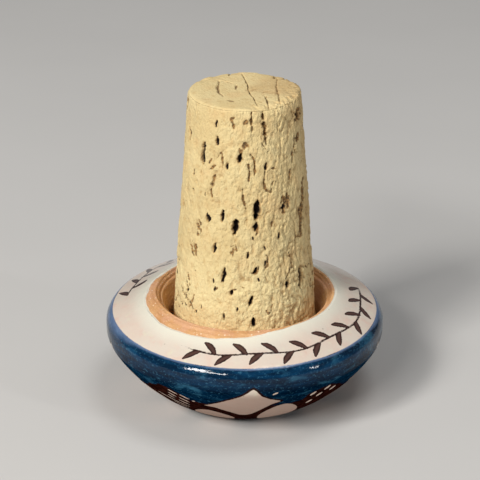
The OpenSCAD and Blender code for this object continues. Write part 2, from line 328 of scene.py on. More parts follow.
class CapPaint:
    """The painted fields of the cap as signed distances in mm, positive inside."""

    def __init__(self, cap):
        self.cap = cap
        outside = np.argmax(cap.profile[:, 1] > BAND_Z)
        self.outer_z = cap.profile[:outside, 1]
        self.outer_s = cap.length[:outside]
        self.band_s = self.height(BAND_Z)
        self.rng = np.random.default_rng(11)

    def height(self, z):
        """Distance along the profile at which the outside reaches height z."""
        return np.interp(z, self.outer_z, self.outer_s)

    def nowhere(self):
        """A field that is far outside everywhere."""
        return np.full(len(self.cap.az), FAR)

    def belt(self, outline, mirror=1):
        """Points of (degrees, height) as flat (distance round the belt, distance along the profile)."""
        pts = np.asarray(outline, float)
        return np.column_stack([np.radians(pts[:, 0] * mirror) * BELT_R, self.height(pts[:, 1])])

    def near(self, middle):
        """The cap's points round the middle angle, flat by the same measure as belt."""
        return np.column_stack([wrapped(self.cap.az, middle) * BELT_R, self.cap.s])

    def on_dome(self, middle, outline, mirror=1, wobble=0.0):
        """Signed distance to an outline placed at that angle, measured only near it."""
        flat = self.belt(outline, mirror)
        if wobble:
            flat = flat + self.rng.normal(0, wobble, flat.shape)
        p = self.near(middle)
        close = (np.abs(p[:, 0]) < 9) & (self.cap.s < self.height(12.5)) & (self.cap.s > 8)
        value = self.nowhere()
        value[close] = inside_by(p[close], flat)
        return value

    def white_petals(self):
        """The petal in front as it is, and even ones in the other places."""
        value = self.on_dome(0, WHITE_PETAL)
        for i in range(1, PETALS):
            value = np.maximum(value, self.on_dome(PETAL_PITCH * i, OTHER_PETAL, wobble=BRUSH_WOBBLE))
        return value

    def brown_petals(self):
        """The brown petals' tops between the white ones, some the other way round."""
        value = self.nowhere()
        for i in range(PETALS):
            mirror = 1 if i in (0, 2, 3) else -1
            middle = PETAL_PITCH * (i + 0.5)
            value = np.maximum(value, self.on_dome(middle, BROWN_PETAL, mirror, BRUSH_WOBBLE))
        return value

    def blue_band(self, white, brown):
        """The blue field, from the ring down to a wavy foot, kept off the petals."""
        wave = 0.14 * noise(self.cap.points, (3.4, 3.4, 9), 5)
        top = self.band_s - self.cap.s + 0.7 * wave
        foot = self.cap.s - self.height(7.05) + wave
        return np.minimum(np.minimum(top, foot), np.minimum(-white - LINE_W * 0.8, -brown))

    def under_petal(self, middle, top, half_width):
        """One round-ended petal from the crown out to top, measured along the profile."""
        t = np.linspace(0, 1, 28)
        half = half_width * np.sin(np.pi * t ** 1.55) ** 0.62
        side = UNDER_ROOT_S + (top - UNDER_ROOT_S) * t
        outline = np.vstack([np.column_stack([half, side]), np.column_stack([-half, side])[-2:0:-1]])
        p = np.column_stack([wrapped(self.cap.az, middle) * self.cap.r, self.cap.s])
        close = (np.abs(p[:, 0]) < 6) & (self.cap.s < self.height(9)) & (self.cap.s > 5)
        value = self.nowhere()
        value[close] = inside_by(p[close], outline)
        return value

    def under_petals(self):
        """Round-ended white petals under the gaps of the row above, and the crown's white disc."""
        value = self.nowhere()
        for i in range(2 * PETALS):
            middle = PETAL_PITCH / 4 + PETAL_PITCH / 2 * i
            if middle > 180:
                middle -= 360
            usual_top = UNDER_TOP + self.rng.normal(0, UNDER_TOP_SPREAD)
            half_width = UNDER_HALF_W + self.rng.normal(0, UNDER_HALF_W_SPREAD)
            top = self.height(UNDER_TOPS.get(middle, usual_top))
            value = np.maximum(value, self.under_petal(middle, top, half_width))
        disc = CROWN_DISC_S - self.cap.s + 0.12 * noise(self.cap.points, 2.5, 8)
        return np.maximum(value, disc)

    def marks(self):
        """White hatch strokes and lozenges on the brown petals."""
        value = self.nowhere()
        across, up = LOZENGE_REACH
        lozenges = [([(a - across, z - up), (a + across, z + up)], LOZENGE_W) for a, z in LOZENGES]
        hatch = [(path, HATCH_W) for path in HATCH]
        for i in range(PETALS):
            middle = PETAL_PITCH * (i + 0.5)
            p = self.near(middle)
            close = (np.abs(p[:, 0]) < 8) & (self.cap.s < self.height(10)) & (self.cap.s > self.height(2.6))
            for path, width in lozenges if middle < 180 else hatch:
                drawn = stroke(p[close], self.belt(path), width, 0.6) * width / 2
                value[close] = np.maximum(value[close], drawn)
        return value

    def dashes(self):
        """Stray pale touches of the brush by the front petal."""
        p = self.near(0)
        return np.maximum.reduce([stroke(p, self.belt(path), HATCH_W, 0.6) * HATCH_W / 2 for path in DASHES])

    def stem(self, first, last):
        """A sprig's thin stem, which waves a little and tapers at its ends."""
        round_way = np.degrees(self.cap.az)
        wave = STEM_WAVE * np.sin(np.radians(round_way - first) * STEM_WAVES_ROUND)
        ends = np.minimum(round_way - first, last - round_way) + STEM_OVERHANG
        taper = np.clip(ends / (STEM_OVERHANG + 1), -1, 1)
        return STEM_HALF_W * taper - np.abs(self.cap.r - SPRIG_R - wave)

    def leaf(self, az, stem_r, side, on_ring):
        """One leaf that leans off the stem, inward for side 1 and outward for -1."""
        x, y = self.cap.points[:, 0], self.cap.points[:, 1]
        local = np.column_stack([
            x * math.cos(az) + y * math.sin(az),
            -x * math.sin(az) + y * math.cos(az) + stem_r - side * LEAF_SHIFT,
        ])
        close = on_ring & (np.hypot(*local.T) < 3)
        lean = math.radians(side * LEAF_LEAN)
        tip = np.array([-math.sin(lean), math.cos(lean)]) * LEAF_LEN / 2
        bend = np.array([math.cos(lean), math.sin(lean)]) * LEAF_BEND * side
        path = [-tip, -tip * 0.3 + bend, tip * 0.4 + bend, tip]
        value = self.nowhere()
        value[close] = stroke(local[close], path, LEAF_W, 0.28) * LEAF_W / 2
        return value

    def sprigs(self):
        """Leafy brush strokes round the white ring, in plan."""
        value = self.nowhere()
        on_ring = (self.cap.s > self.band_s - 1) & (self.cap.r > MOUTH_R + 0.5)
        for first, last, count in SPRIGS:
            value = np.maximum(value, np.where(on_ring, self.stem(first, last), FAR))
            for i in range(count):
                along = math.radians((last - first) * i / (count - 1))
                stem_r = SPRIG_R + STEM_WAVE * math.sin(along * STEM_WAVES_ROUND)
                side = i % 2 * 2 - 1
                value = np.maximum(value, self.leaf(math.radians(first) + along, stem_r, side, on_ring))
        return value

    def glaze(self):
        """Inside the glaze: outside the off-centre edge on the ring, and never inside the lip."""
        x, y = self.cap.points[:, 0], self.cap.points[:, 1]
        edge = np.hypot(x - GLAZE_CENTRE[0], y - GLAZE_CENTRE[1]) - GLAZE_EDGE
        edge += 0.16 * noise(self.cap.points, 2.6, 21) + 0.06 * noise(self.cap.points, 0.9, 22)
        crest = self.cap.length[np.argmax(self.cap.profile[:, 1])]
        inward = crest - self.cap.s + 0.15 + 0.12 * noise(self.cap.points, 3.1, 23)
        return np.where(self.cap.s < self.band_s, WELL_GLAZED, np.minimum(edge, inward))

    def pale(self, white, under):
        """All that is cream white: the petals of both rows and the ring on top."""
        ring = np.where(self.cap.s > self.band_s - 3, self.cap.s - self.band_s, -3)
        ring += 0.1 * noise(self.cap.points, (3.4, 3.4, 9), 5)
        return np.maximum(np.maximum(white, np.minimum(under, -white - LINE_W)), ring)

    def fade(self):
        """Distance below the band's upper edge, as a share of how far the pale blue runs down there: thin
        glaze, widened at the left and right by painted reflection.
        """
        round_way = np.degrees(self.cap.az)
        farther = FADE_LEFT * smoothstep(-40, -80, round_way) + FADE_RIGHT * smoothstep(65, 90, round_way)
        return (self.band_s - self.cap.s) / (FADE_FRONT + farther)

    def fields(self):
        """Every field that the glaze's material reads, by name."""
        white = self.white_petals()
        brown = self.brown_petals()
        under = np.where(self.cap.s < self.height(9), self.under_petals(), FAR)
        marks = np.minimum(self.marks(), np.minimum(-white - LINE_W, -under - 0.15))
        return {
            "blue": self.blue_band(white, brown), "pale": self.pale(white, under),
            "marks": np.maximum(marks, self.dashes()), "sprigs": self.sprigs(), "glaze": self.glaze(),
            "fade": self.fade(), "low": np.where(self.cap.s < self.band_s, LOW_Z - self.cap.z, RING_LOW),
        }


# Depth of the bare clay under the glaze, and the ridges that the wheel left in it
CLAY_DROP = 0.14
RIDGE_H = 0.08
RIDGE_PITCH = 0.9

# Radius past which nothing may stand proud, and the share that stands proud elsewhere
FREE_R = 22.2
PROUD_SHARE = 0.3


def cap_relief(cap, glaze, band_s):
    """How far each point stands off the profile: sunk clay, turning ridges and a slow unevenness."""
    bare = 1 - smoothstep(-0.15, 0.4, glaze)
    offset = np.where(cap.s < band_s + 9, -CLAY_DROP * bare, 0.0)
    offset += 0.05 * noise(cap.points, (9, 9, 6), 31) + 0.02 * noise(cap.points, (4, 4, 1.1), 32)
    ridges = RIDGE_H * np.sin(cap.s * 2 * math.pi / RIDGE_PITCH + 2 * noise(cap.points, 7, 33))
    offset += np.where(bare > 0.5, ridges, 0) * smoothstep(13.0, 13.4, cap.r)
    free = (cap.z > 0.02) & (cap.r < FREE_R)
    return np.minimum(offset, 0.0) + PROUD_SHARE * np.where(free, np.maximum(offset, 0.0), 0.0)


def make_cap():
    cap = Turned(cap_profile(), CAP_COLUMNS)
    paint = CapPaint(cap)
    fields = paint.fields()
    return cap.build("painted_cap", cap_relief(cap, fields["glaze"], paint.band_s), fields)


# ---- Shape of the cork ----

# Black pits as (path of angle and height, width, depth)
PITS = [
    ([(-43.2, 42.2), (-43.8, 43.2), (-43.2, 44.0)], 1.0, 1.1), ([(-42.6, 44.2), (-42.2, 45.4)], 0.8, 1.0),
    ([(-27, 45.7), (-27.3, 46.7)], 0.8, 0.7), ([(-28.8, 48.9), (-28.5, 49.5)], 0.36, 0.3),
    ([(-4.8, 43.4), (-3.9, 44.3)], 1.0, 1.0), ([(-16.6, 42.0), (-16.2, 42.9)], 0.5, 0.45),
    ([(20, 41.9), (20.3, 42.8)], 0.65, 0.7), ([(10.2, 34.2), (10.9, 35.5), (11.2, 36.8)], 1.25, 1.5),
    ([(9.6, 32.2), (10.6, 33.4)], 0.9, 0.7), ([(-8.8, 31.8), (-7.6, 33.9)], 1.1, 1.4),
    ([(-20.6, 33.5), (-19.6, 35.2)], 0.65, 0.9), ([(-34.4, 33.0), (-33.6, 34.1)], 0.75, 0.9),
    ([(-27.3, 28.2), (-26.2, 29.7)], 0.65, 0.9), ([(-46.5, 27.6), (-46, 28.6)], 0.5, 0.5),
    ([(-18.8, 23.6), (-18.0, 24.6), (-16.8, 26.0)], 0.6, 0.9), ([(-11.2, 21.5), (-10.8, 22.3)], 0.6, 0.7),
    ([(8.6, 25.1), (9.8, 26.0)], 0.8, 0.8), ([(17.6, 26.3), (18.2, 27.0)], 0.42, 0.5),
    ([(38.6, 21.9), (39.4, 22.8)], 1.05, 1.0), ([(54.2, 20.8), (56, 22.4), (55.6, 24.2)], 0.9, 1.0),
    ([(4.2, 19.8), (6.4, 21.2)], 0.62, 0.9), ([(7.6, 16.4), (7.2, 17.6)], 0.75, 1.0),
    ([(-17.2, 17.2), (-16.8, 18.2)], 0.42, 0.5), ([(2.6, 27.7), (3.4, 28.8)], 0.42, 0.5),
    ([(-25.3, 21.8), (-24.8, 22.6)], 0.34, 0.35), ([(65, 48.2), (66.2, 49.3)], 1.15, 0.8),
    ([(62.6, 44.6), (63.6, 45.7)], 0.75, 0.6), ([(67, 37.6), (65.4, 36.4)], 0.6, 0.5),
    ([(37, 34.9), (38, 35.8)], 0.6, 0.45), ([(31, 30.4), (31.8, 31.4)], 0.5, 0.4),
    ([(50, 28.6), (50.8, 29.8)], 0.5, 0.5), ([(-55.8, 19.8), (-54.6, 20.6)], 0.45, 0.5),
    ([(-6.2, 18.9), (-5.6, 19.5)], 0.36, 0.35), ([(-66, 20.3), (-61.5, 19.4)], 0.36, 0.3),
    ([(-62.5, 20.6), (-59.4, 19.4), (-57, 18.6)], 0.42, 0.4), ([(-57.4, 19.7), (-54, 18.5)], 0.36, 0.3),
    ([(-53, 18.9), (-49.4, 18.1), (-47, 17.6)], 0.36, 0.35), ([(-58.4, 18.0), (-56, 17.6)], 0.3, 0.25),
    ([(-72.4, 18.6), (-69.8, 17.6)], 0.42, 0.35), ([(-67.8, 18.2), (-65.8, 17.6)], 0.36, 0.3),
    ([(-63.4, 17.6), (-61.4, 17.0)], 0.36, 0.3), ([(-70.8, 16.7), (-68.2, 16.2)], 0.4, 0.3),
    ([(-44, 17.2), (-42.6, 17.7)], 0.3, 0.25),
]

# Brown, shallow marks in the same form
STAINS = [
    ([(-4, 44.6), (0.5, 46.2), (4.5, 45.6)], 0.7, 0.25),
    ([(5.6, 44.4), (8.8, 43.8), (9.6, 41.8), (8.2, 40.6)], 0.32, 0.3),
    ([(-29, 40.8), (-30.6, 39.6), (-32.2, 38.2), (-31.8, 37.2)], 0.45, 0.35),
    ([(19, 41.6), (18.0, 39.8), (20.4, 38.4), (24.6, 38.2), (26.6, 39.8)], 0.36, 0.35),
    ([(26, 42.0), (29.4, 41.8)], 0.3, 0.2), ([(3.6, 43.4), (4.4, 41.4), (3.2, 39.8)], 0.34, 0.35),
    ([(-2, 39.0), (-1.2, 37.4), (0.6, 36.2), (1.4, 35.6)], 0.34, 0.3),
    ([(36.5, 34.6), (38.4, 36.6), (41.5, 36.6), (42.5, 35.2)], 1.15, 0.3),
    ([(68, 38.4), (64, 34.6), (60.5, 31.4), (59.6, 29.4)], 1.5, 0.3),
    ([(-43, 31.2), (-46.6, 32.0)], 0.75, 0.2), ([(-44.5, 32.8), (-41.6, 32.0)], 0.5, 0.2),
    ([(-46, 30.7), (-44.2, 30.0)], 0.45, 0.2), ([(-41, 31.4), (-42.6, 30.4)], 0.45, 0.2),
    ([(-51, 28.9), (-47.4, 28.2), (-46.2, 26.8)], 0.6, 0.2),
    ([(-12, 29.6), (-8, 29.9), (-6.8, 28.9)], 0.34, 0.2), ([(-13, 28.6), (-10, 28.5)], 0.4, 0.2),
    ([(-36, 42.4), (-33.6, 43.2)], 0.4, 0.2), ([(-27, 43.6), (-22.4, 44.6), (-20.6, 42.2)], 0.3, 0.25),
    ([(-11, 48.6), (-13.4, 49.9), (-9.6, 50.3)], 0.5, 0.25), ([(-1, 49.2), (1.8, 49.8)], 0.55, 0.2),
    ([(7.2, 48.1), (6.6, 49.4), (7.0, 51.2)], 0.34, 0.4),
    ([(20.8, 46.0), (19.8, 48.4), (18.6, 51.0)], 0.5, 0.7),
    ([(6.4, 25.2), (10.8, 25.2), (12.0, 26.2)], 0.36, 0.3),
    ([(-57, 22.2), (-54, 20.2), (-52, 19.2)], 0.3, 0.25), ([(-55, 23), (-52.4, 21.2)], 0.3, 0.25),
    ([(10.2, 31.6), (11.4, 32.6)], 0.6, 0.4), ([(-2.6, 23.0), (-0.6, 22.8)], 0.3, 0.2),
    ([(-24.5, 22.2), (-22.6, 22.6)], 0.26, 0.2), ([(-9.6, 22.4), (-7.0, 22.6)], 0.3, 0.15),
    ([(55, 44), (56.5, 46)], 0.4, 0.3), ([(63, 48.0), (67.5, 49.6)], 2.0, 0.2),
    ([(60.5, 44.6), (65, 45.8)], 1.2, 0.2),
    ([(17.4, 25.6), (20.2, 26.2), (20.6, 27.6), (18.4, 28.2)], 0.34, 0.25),
    ([(25, 32.6), (25.6, 34.0)], 0.4, 0.2), ([(46, 39.4), (48, 41.4)], 0.36, 0.2),
]

# Cracks in the end face as (path of x and y in mm, width, depth)
END_CRACKS = [
    ([(-0.5, 7.9), (0.3, 3.4), (0.7, -0.9), (1.5, -4.2), (1.9, -7.1)], 0.3, 0.45),
    ([(5.1, 5.4), (4.9, 1.4), (5.2, -3.1), (5.5, -6.6)], 0.32, 0.45),
    ([(-3.9, 4.2), (-4.2, 1.6), (-4.0, -1.0), (-3.2, -2.8)], 0.52, 0.4),
    ([(-1.2, 2.4), (-1.5, 0.4)], 0.5, 0.25), ([(-3.2, 3.9), (-1.8, 3.2)], 0.3, 0.2),
    ([(-2.6, -4.6), (-1.6, -5.2)], 0.6, 0.15), ([(3.2, -2.6), (3.6, -7.6)], 0.3, 0.4),
    ([(-2.2, 8.4), (-2.6, 6.6)], 0.5, 0.4), ([(4.8, 7.0), (4.6, 5.4)], 0.5, 0.4),
    ([(6.4, 5.9), (5.9, 4.9)], 0.45, 0.35),
]

REAR_PITS = 30
SMALL_PITS = 60
SMALL_MARKS = 90

# Height above which the side carries its features. Below it, the socket hides the cork
SHOWN_Z = 15

# Depth of the creases, and the value of their field that lies level with the profile
CREASE_DEPTH = 0.36
CREASE_LEVEL = 0.22

# Where the cork's paler foot, the painted shade on its right side and its torn edge start and end: heights in
# mm, and angles from the front
PALE_FOOT_Z = (30, 19)
SHADE_RIGHT_STARTS, SHADE_RIGHT_ENDS = (48, 80), (170, 130)
TORN_STARTS, TORN_ENDS = (-8, 15), (100, 70)


def cork_radius(z):
    """Radius of the taper at height z."""
    return CORK_FOOT_R + (CORK_TIP_R - CORK_FOOT_R) * (z - CORK_FOOT_Z) / (CORK_TIP_Z - CORK_FOOT_Z)


def cork_profile():
    """The cork's outline from the middle of its foot, up the side, to the middle of the end face."""
    lean = math.degrees(math.atan2(CORK_FOOT_R - CORK_TIP_R, CORK_TIP_Z - CORK_FOOT_Z))
    edge_c = (cork_radius(CORK_TIP_Z - CORK_EDGE_R) - CORK_EDGE_R, CORK_TIP_Z - CORK_EDGE_R)
    edge = arc(edge_c, CORK_EDGE_R, lean, 90, 0.12)
    low = (cork_radius(SHOWN_Z - 0.5), SHOWN_Z - 0.5)
    return joined([
        line((0, CORK_FOOT_Z), (CORK_FOOT_R, CORK_FOOT_Z), 4.0),
        line((CORK_FOOT_R, CORK_FOOT_Z), low, 0.75),
        line(low, edge[0], 0.18), edge,
        line(edge[-1], (0, CORK_TIP_Z), 0.165),
    ])


def rear_pits():
    """The pits round the back, spread by the golden angle as the CAD's are."""
    pits = []
    for i in range(REAR_PITS):
        spread = math.radians(i * 137.5)
        az = 80 + i * 137.5 % 215
        z = CAP_H + (CORK_TIP_Z - CAP_H) * (i + 1) / (REAR_PITS + 1)
        length = 1.7 + 0.9 * math.sin(2 * spread)
        width = 0.75 + 0.35 * math.cos(3 * spread)
        lean = math.radians(18 * math.sin(5 * spread))
        reach = math.degrees(length / 2 * math.sin(lean) / cork_radius(z))
        rise = length / 2 * math.cos(lean)
        pits.append(([(az - reach, z - rise), (az + 1.5, z), (az + reach, z + rise)], width, width))
    return pits


def random_pits(rng):
    """Small pits that the lists leave out, in the same form."""
    pits = []
    for _ in range(SMALL_PITS):
        az = rng.uniform(-60, 300)
        size = rng.uniform(0.18, 0.42)
        length = size * rng.uniform(1.2, 2.6)
        z = rng.uniform(17.5, 50)
        pits.append(([(az, z), (az + rng.normal(0, 1), z + length)], size, size * 0.7))
    return pits


def random_stains(rng):
    """Thin brown marks in the same form, most of them round the back."""
    stains = []
    for _ in range(SMALL_MARKS):
        az = rng.uniform(70, 300) if rng.random() < 0.88 else rng.uniform(-60, 70)
        z = rng.uniform(16, 50.5)
        turn, path = rng.uniform(0, 2 * math.pi), [(az, z)]
        for _ in range(3):
            turn += rng.normal(0, 0.8)
            az += 3.2 * math.cos(turn)
            z += math.sin(turn)
            path.append((az, min(z, 50.8)))
        stains.append((path, rng.uniform(0.2, 0.42), rng.uniform(0.1, 0.25)))
    return stains


def cut(cork, features, rough, seed):
    """Deepest share of any of the features at each point of the side, and the depth that goes with it."""
    share = np.full(len(cork.az), -1.0)
    depth = np.zeros(len(cork.az))
    ragged = rough * noise(cork.points, 0.42, seed) + 0.6 * rough * noise(cork.points, 0.2, seed + 1)
    inward = np.maximum(cork_radius(cork.z) - cork.r - 0.05, 0)
    for path, width, deep in features:
        path = np.array(path, float)
        middle = path.mean(axis=0)
        r = cork_radius(middle[1])
        reach = np.ptp(path[:, 1]) / 2 + np.radians(np.ptp(path[:, 0])) * r / 2 + width + 0.3
        p = np.column_stack([wrapped(cork.az, middle[0]) * r, cork.z - middle[1]])
        close = (np.hypot(*p.T) < reach) & (cork.z > SHOWN_Z) & (inward < 1.5)
        flat = np.column_stack([np.radians(path[:, 0] - middle[0]) * r, path[:, 1] - middle[1]])
        value = stroke(p[close], flat, width, 0.5) + ragged[close] - 1.5 * inward[close]
        share[close] = np.maximum(share[close], value)
        depth[close] = np.maximum(depth[close], deep * smoothstep(0.0, 0.65, value))
    return share, depth


def end_cut(cork):
    """The same for the cracks in the end face."""
    share = np.full(len(cork.az), -1.0)
    depth = np.zeros(len(cork.az))
    top = cork.z > CORK_TIP_Z - 1.2
    points = cork.points[top]
    flat = points[:, :2] + 0.12 * np.column_stack([noise(points, 0.9, 61), noise(points, 0.9, 62)])
    ragged = 0.3 * noise(points, 0.5, 63)
    for path, width, deep in END_CRACKS:
        value = stroke(flat, path, width, 0.4) + ragged
        share[top] = np.maximum(share[top], value)
        depth[top] = np.maximum(depth[top], deep * smoothstep(0, 0.8, value))
    return share, depth


def crease_net(cork):
    """Three sizes of crease, drawn out upright: 1 in a crease's middle and 0 away from it."""
    warp = np.column_stack([noise(cork.points, 2.1, seed) for seed in (71, 72, 73)])
    p = cork.points + 0.6 * warp
    broad = np.exp(-(noise(p, (1.9, 1.9, 2.8), 77) / 0.1) ** 2)
    coarse = np.exp(-(noise(p, (0.75, 0.75, 2.1), 74) / 0.17) ** 2)
    fine = np.exp(-(noise(p, (0.45, 0.45, 0.9), 75) / 0.24) ** 2)
    return broad, coarse, fine


def creases(cork, az):
    """The leathery net of creases, strongest on the right and calmer near the end face elsewhere."""
    broad, coarse, fine = crease_net(cork)
    right = smoothstep(-5, 40, az) * (1 - smoothstep(100, 170, az))
    low = 1 - smoothstep(24, 40, cork.z)
    patchy = smoothstep(-0.5, 0.5, noise(cork.points, 6, 76))
    strength = 0.3 + 0.7 * np.maximum(right * (0.6 + 0.4 * low), 0.6 * patchy)
    by_end = 1 - 0.6 * smoothstep(48.5, 51, cork.z) * (1 - right)
    return ((0.55 * coarse + 0.45 * fine) * strength + 0.3 * broad) * by_end


def edge_loss(cork, torn):
    """How much is broken off round the end face, most at the back and where it is torn on the right."""
    by_edge = np.exp(-((cork.z - CORK_TIP_Z) / 0.9) ** 2) * np.exp(-((cork.r - CORK_TIP_R) / 0.9) ** 2)
    back = 0.5 + 0.5 * np.cos(cork.az - math.pi)
    chips = (0.2 + 0.3 * back + 0.8 * torn) * np.maximum(noise(cork.points, 1.5, 54) + 0.15, 0)
    return by_edge * (chips + 0.22 * torn)


def cork_relief(cork, az, crease, on_side):
    """How far each point stands off the profile, apart from the pits, marks and cracks."""
    torn = smoothstep(*TORN_STARTS, az) * smoothstep(*TORN_ENDS, az)
    calm = np.where(on_side, 1.0, 0.3 + 0.9 * torn * smoothstep(5.2, 7.6, cork.r))
    lumps = 0.08 * noise(cork.points, (1.4, 1.4, 2.2), 52) + 0.06 * noise(cork.points, (0.6, 0.6, 0.9), 53)
    relief = calm * (lumps - CREASE_DEPTH * (crease - CREASE_LEVEL))
    return relief + 0.09 * noise(cork.points, (4, 4, 7), 51) - edge_loss(cork, torn)


def make_cork():
    cork = Turned(cork_profile(), CORK_COLUMNS)
    az = np.degrees(cork.az)
    on_side = cork.s < cork.length[np.argmax(cork.profile[:, 1] > CORK_TIP_Z - 0.3)]
    rng = np.random.default_rng(5)
    pit, pit_depth = cut(cork, PITS + rear_pits() + random_pits(rng), 0.42, 41)
    stain, stain_depth = cut(cork, STAINS + random_stains(rng), 0.95, 43)
    crack, crack_depth = end_cut(cork)
    crease = creases(cork, az)
    offset = cork_relief(cork, az, crease, on_side) - pit_depth - stain_depth - crack_depth
    offset = np.where(on_side, offset, np.minimum(offset, 0))
    fields = {
        "pit": pit, "stain": stain, "crack": crack, "crease": crease,
        "end_face": np.where(on_side, 0.0, 1.0), "foot": smoothstep(*PALE_FOOT_Z, cork.z),
        # The right side, where shade is painted into the cork's colour
        "shade_right": smoothstep(*SHADE_RIGHT_STARTS, az) * smoothstep(*SHADE_RIGHT_ENDS, az),
    }
    return cork.build("carved_cork", offset * smoothstep(13, SHOWN_Z, cork.z), fields)


# ---- Materials ----

def srgb(r, g, b):
    """A colour of 0 to 255 as the shader's linear one."""
    def linear(c):
        c /= 255
        return c / 12.92 if c <= 0.04045 else ((c + 0.055) / 1.055) ** 2.4
    return (linear(r), linear(g), linear(b), 1.0)


CREAM_PINK = srgb(222, 204, 189)
CREAM = srgb(219, 207, 193)
BLUSH = srgb(222, 188, 172)
LIME = srgb(224, 222, 194)
# Painted sheen, and a painted highlight, for the white by the clay
SHEEN_WHITE = srgb(231, 229, 213)
HIGHLIGHT_WHITE = srgb(242, 242, 232)
# Painted shade for the white low on the dome
DOME_PAINTED_SHADE = srgb(178, 148, 134)
KILN_SPECK = srgb(96, 66, 50)

COBALT = srgb(4, 54, 88)
COBALT_DEEP = srgb(0, 26, 48)
# Deep cobalt for real pools, and painted shade low on the dome
COBALT_POOL_AND_SHADE = srgb(0, 16, 36)
COBALT_WASH = srgb(56, 112, 140)
COBALT_GRAIN = srgb(64, 118, 146)
# Pale blue of thin glaze, also painted reflection at the band's left and right
COBALT_THIN_AND_REFLECTION = srgb(112, 134, 170)

CLAY = srgb(203, 148, 97)
CLAY_LIGHT = srgb(226, 178, 124)
CLAY_PINK = srgb(220, 168, 138)
CLAY_DARK = srgb(194, 134, 90)
CLAY_DUST = srgb(246, 214, 176)
CLAY_GRIT = srgb(250, 228, 200)

BROWN_BLACK = srgb(26, 8, 6)
RED_BROWN = srgb(56, 24, 18)
MARK_WHITE = srgb(226, 204, 188)
LEAF_EDGE = srgb(46, 26, 24)
LEAF_MIDDLE = srgb(84, 60, 54)

CORK_LIGHT = srgb(232, 210, 156)
CORK_TAN = srgb(223, 198, 143)
CORK_FOOT = srgb(246, 227, 172)
CORK_WARM = srgb(226, 180, 122)
# Painted shade for the cork's right side
CORK_PAINTED_SHADE = srgb(184, 146, 96)
CORK_GRAIN = srgb(204, 168, 112)
CORK_PALE = srgb(240, 220, 170)
# Painted shade for the creases
CREASE_PAINTED_SHADE = srgb(156, 114, 66)
SPECK_BROWN = srgb(120, 78, 42)
STAIN_DARK = srgb(62, 36, 20)
STAIN_LIGHT = srgb(172, 126, 70)
CRACK_BROWN = srgb(112, 78, 46)
PIT_RIM = srgb(176, 128, 72)
PIT_BLACK = srgb(30, 16, 14)


class Shader:
    """A material under construction, with one method for each kind of node it uses."""

    def __init__(self, name, **settings):
        self.material = bpy.data.materials.new(name)
        self.material.use_nodes = True
        self.tree = self.material.node_tree
        self.surface = self.tree.nodes["Principled BSDF"]
        for socket, value in settings.items():
            self.surface.inputs[socket].default_value = value
        self.place = self.node("ShaderNodeTexCoord").outputs["Object"]

    def node(self, kind, inputs=(), **settings):
        """A new node with those settings, and a value or a link for each input named."""
        made = self.tree.nodes.new(kind)
        for key, value in settings.items():
            setattr(made, key, value)
        for key, value in dict(inputs).items():
            self.give(made.inputs[key], value)
        return made

    def give(self, socket, value):
        """Links the socket to another node's output, or sets its own value."""
        if isinstance(value, bpy.types.NodeSocket):
            self.tree.links.new(value, socket)
        else:
            socket.default_value = value

    def set(self, socket, value):
        self.give(self.surface.inputs[socket], value)

    def field(self, name):
        """A field of the mesh, by its name in make_cap or make_cork."""
        return self.node("ShaderNodeAttribute", attribute_name=name).outputs["Fac"]

    def stretched(self, size, stretch):
        """The place in units of size mm, drawn out by stretch."""
        scale = [1 / (MM * size * s) for s in stretch]
        return self.node("ShaderNodeVectorMath", {0: self.place, 1: scale}, operation="MULTIPLY").outputs[0]

    def noise(self, size, detail=3.0, stretch=(1, 1, 1), rough=0.5):
        """Noise from 0 to 1 with features of size mm, drawn out by stretch."""
        inputs = {"Vector": self.stretched(size, stretch), "Scale": 1.0, "Detail": detail, "Roughness": rough}
        return self.node("ShaderNodeTexNoise", inputs).outputs["Fac"]

    def cells(self, size, stretch=(1, 1, 1)):
        """Distance to the nearest of scattered points about size mm apart, as a share of size."""
        inputs = {"Vector": self.stretched(size, stretch), "Scale": 1.0}
        return self.node("ShaderNodeTexVoronoi", inputs).outputs["Distance"]

    def math(self, operation, a, b):
        return self.node("ShaderNodeMath", {0: a, 1: b}, operation=operation).outputs[0]

    def ramp(self, value, low, high, start=0.0, end=1.0):
        """value from low to high becomes start to end, smoothly."""
        inputs = {"Value": value, "From Min": low, "From Max": high, "To Min": start, "To Max": end}
        return self.node("ShaderNodeMapRange", inputs, interpolation_type="SMOOTHSTEP").outputs["Result"]

    def mix(self, share, a, b):
        """Colour a with that share of colour b over it."""
        made = self.node("ShaderNodeMix", data_type="RGBA")
        self.give(made.inputs["Factor"], share)
        self.give(made.inputs[6], a)
        self.give(made.inputs[7], b)
        return made.outputs[2]

    def blend(self, share, a, b):
        """Number a turned into number b by that share."""
        made = self.node("ShaderNodeMix", {"Factor": share, 2: a, 3: b}, data_type="FLOAT")
        return made.outputs["Result"]

    def bump(self, height, distance, strength=1.0, before=None):
        """Relief of that height, in mm for a height of 1."""
        inputs = {"Height": height, "Distance": distance * MM, "Strength": strength}
        if before is not None:
            inputs["Normal"] = before
        return self.node("ShaderNodeBump", inputs).outputs["Normal"]


def paint_edge(s, name, wobble, soft=0.05):
    """Where a painted field is, from 0 to 1, with a brushed edge."""
    return s.ramp(s.math("ADD", s.field(name), wobble), -soft, soft)


